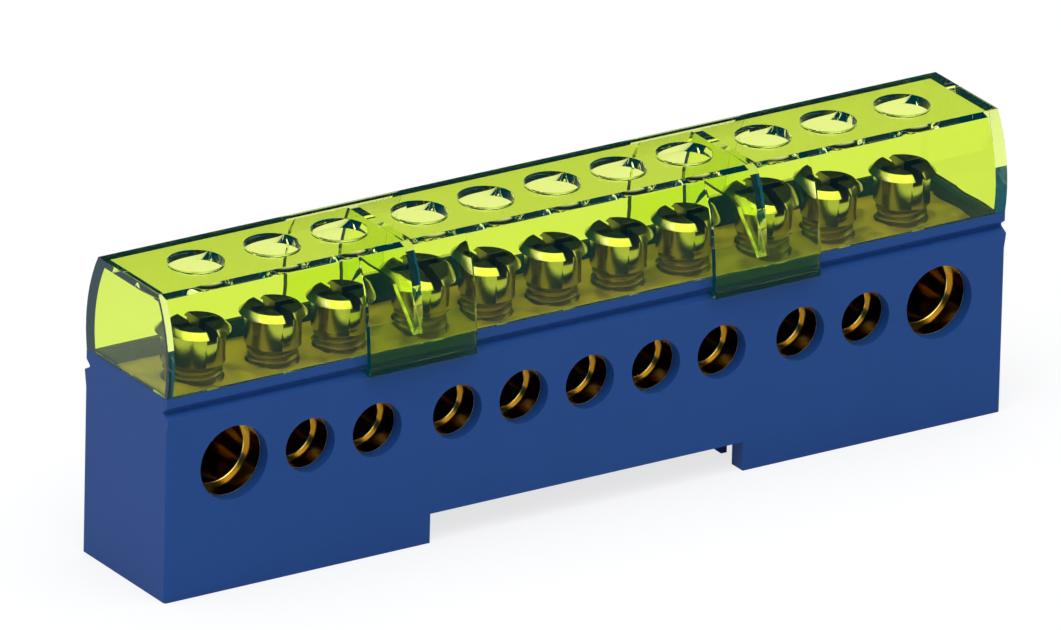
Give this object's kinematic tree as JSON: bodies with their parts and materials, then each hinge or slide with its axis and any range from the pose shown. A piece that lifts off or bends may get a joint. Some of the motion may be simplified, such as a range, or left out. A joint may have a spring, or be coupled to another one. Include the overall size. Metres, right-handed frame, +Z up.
{
  "type": "terminal block",
  "caption": "Insulated neutral busbar terminal block for a 35 mm rail: blue housing, brass bar with clamping screws and side wire entries, clear yellow-green cover that clips on.",
  "frame": {"origin": "centre of the footprint, on the plane that the feet stand on", "axes": "+X along the bar to the right as seen from the wire entries, -Y the way the wires leave, +Z up through the cover"},
  "size_m": [0.095, 0.0166, 0.0309],
  "materials": {
    "housing": "moulded blue polyamide, satin",
    "brass": "drawn brass with drilled and tapped holes, bright",
    "cover": "moulded transparent polycarbonate, yellow-green, polished",
    "steel": "turned steel, nickel plated"
  },
  "bodies": {
    "block": {"housing": "housing", "busbar": "brass", "cover": "cover"},
    "screw_1": {"terminal_screw_1": "steel"},
    "screw_2": {"terminal_screw_2": "steel"},
    "screw_3": {"terminal_screw_3": "steel"},
    "screw_4": {"terminal_screw_4": "steel"},
    "screw_5": {"terminal_screw_5": "steel"},
    "screw_6": {"terminal_screw_6": "steel"},
    "screw_7": {"terminal_screw_7": "steel"},
    "screw_8": {"terminal_screw_8": "steel"},
    "screw_9": {"terminal_screw_9": "steel"},
    "screw_10": {"terminal_screw_10": "steel"},
    "screw_11": {"terminal_screw_11": "steel"}
  },
  "joints": [
    {"name": "screw_1_travel", "type": "slide", "parent": "block", "child": "screw_1", "axis": [0, 0, 1], "range_m": [-0.00175, 0.0052]},
    {"name": "screw_2_travel", "type": "slide", "parent": "block", "child": "screw_2", "axis": [0, 0, 1], "range_m": [-0.00085, 0.0052]},
    {"name": "screw_3_travel", "type": "slide", "parent": "block", "child": "screw_3", "axis": [0, 0, 1], "range_m": [-0.00085, 0.0052]},
    {"name": "screw_4_travel", "type": "slide", "parent": "block", "child": "screw_4", "axis": [0, 0, 1], "range_m": [-0.00085, 0.0052]},
    {"name": "screw_5_travel", "type": "slide", "parent": "block", "child": "screw_5", "axis": [0, 0, 1], "range_m": [-0.00085, 0.0052]},
    {"name": "screw_6_travel", "type": "slide", "parent": "block", "child": "screw_6", "axis": [0, 0, 1], "range_m": [-0.00085, 0.0052]},
    {"name": "screw_7_travel", "type": "slide", "parent": "block", "child": "screw_7", "axis": [0, 0, 1], "range_m": [-0.00085, 0.0052]},
    {"name": "screw_8_travel", "type": "slide", "parent": "block", "child": "screw_8", "axis": [0, 0, 1], "range_m": [-0.00085, 0.0052]},
    {"name": "screw_9_travel", "type": "slide", "parent": "block", "child": "screw_9", "axis": [0, 0, 1], "range_m": [-0.00085, 0.0052]},
    {"name": "screw_10_travel", "type": "slide", "parent": "block", "child": "screw_10", "axis": [0, 0, 1], "range_m": [-0.00085, 0.0052]},
    {"name": "screw_11_travel", "type": "slide", "parent": "block", "child": "screw_11", "axis": [0, 0, 1], "range_m": [-0.00175, 0.0052]}
  ]
}
